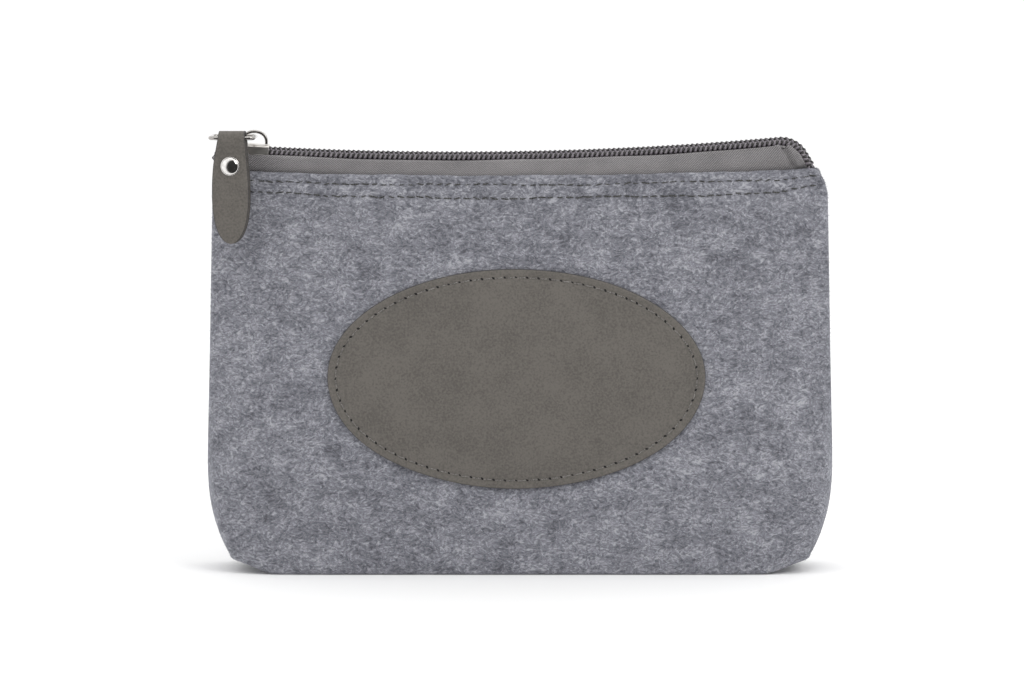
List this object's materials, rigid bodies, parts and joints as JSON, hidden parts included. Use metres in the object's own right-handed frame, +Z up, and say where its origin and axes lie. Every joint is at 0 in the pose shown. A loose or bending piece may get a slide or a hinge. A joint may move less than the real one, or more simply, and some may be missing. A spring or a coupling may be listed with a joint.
{
  "type": "soft zip pouch",
  "caption": "Soft felt zip pouch for glasses with a boxed base, an oval leatherette patch, and a riveted leatherette strap as the zip's pull.",
  "frame": {"origin": "on the ground under the middle of the base", "axes": "+Z up, +X to the right as seen from the front, the front with the oval patch faces -Y"},
  "size_m": [0.2016, 0.0338, 0.1422],
  "materials": {
    "felt": "grey melange needle felt",
    "leatherette": "matt nubuck-like leatherette",
    "zip_tape": "woven twill tape",
    "nylon_coil": "satin nylon",
    "thread": "spun polyester thread",
    "slider_metal": "brushed",
    "bright_metal": "bright nickel plate"
  },
  "bodies": {
    "root": {"front_felt_panel": "felt", "back_felt_panel": "felt", "oval_patch": "leatherette", "patch_stitching": "thread", "topstitch_front_upper": "thread", "topstitch_front_lower": "thread", "topstitch_back_upper": "thread", "topstitch_back_lower": "thread", "side_seam_thread_left": "thread", "side_seam_thread_right": "thread", "bottom_seam_thread": "thread", "corner_seam_thread_left": "thread", "corner_seam_thread_right": "thread", "zipper_tape_back": "zip_tape", "zipper_coil_back": "nylon_coil"},
    "mouth_front": {"zipper_tape_front": "zip_tape", "zipper_coil_front": "nylon_coil"},
    "slider": {"slider_body": "slider_metal", "slider_bridge": "bright_metal"},
    "ring": {"pull_ring": "bright_metal"},
    "strap": {"pull_strap": "leatherette", "rivet_cap": "bright_metal", "rivet_post": "bright_metal"}
  },
  "joints": [
    {"name": "zip", "type": "hinge", "parent": "root", "child": "slider", "pos_m": [-0.02, 0, 1.27357], "axis": [0, -1, 0], "range_deg": [0, 8.12]},
    {"name": "mouth", "type": "slide", "parent": "root", "child": "mouth_front", "axis": [0, -1, 0], "range_m": [0, 0.018], "deforming": ["zipper_tape_front", "zipper_coil_front"]},
    {"name": "ring_swing", "type": "hinge", "parent": "slider", "child": "ring", "pos_m": [-0.08495, -0.00015, 0.13983], "axis": [0, 1, 0], "range_deg": [0, 165]},
    {"name": "strap_swing", "type": "hinge", "parent": "ring", "child": "strap", "pos_m": [-0.0918, -0.0112, 0.13983], "axis": [-1, 0, 0], "range_deg": [0, 150]}
  ],
  "couplings": [
    {"joint": "mouth", "follows": "zip", "m_per_rad": 0.1268}
  ]
}
